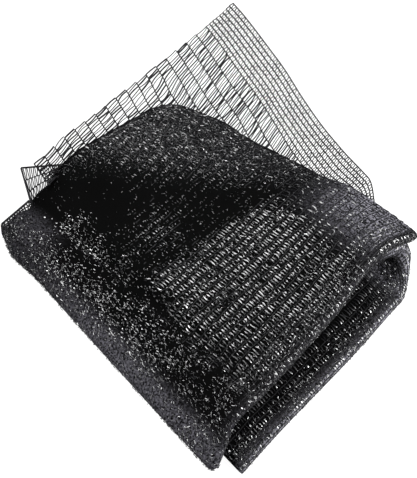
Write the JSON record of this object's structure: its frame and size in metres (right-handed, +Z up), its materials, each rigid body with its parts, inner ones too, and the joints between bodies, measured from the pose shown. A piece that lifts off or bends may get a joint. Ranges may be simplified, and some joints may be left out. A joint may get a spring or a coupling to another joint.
{
  "type": "folded shade cloth",
  "caption": "Black knitted shade net folded into a thick flat packet, with one see-through corner of a single ply standing out at the back.",
  "frame": {"origin": "middle of the footprint on the surface that the packet rests on", "axes": "+Z up, +X along the right front edge towards the loop end, +Y along the left front edge towards the back"},
  "size_m": [0.3286, 0.3476, 0.115],
  "materials": {
    "knitted_net": "black polyethylene tape, slightly glossy"
  },
  "bodies": {
    "root": {"shade_cloth": "knitted_net"}
  },
  "joints": []
}
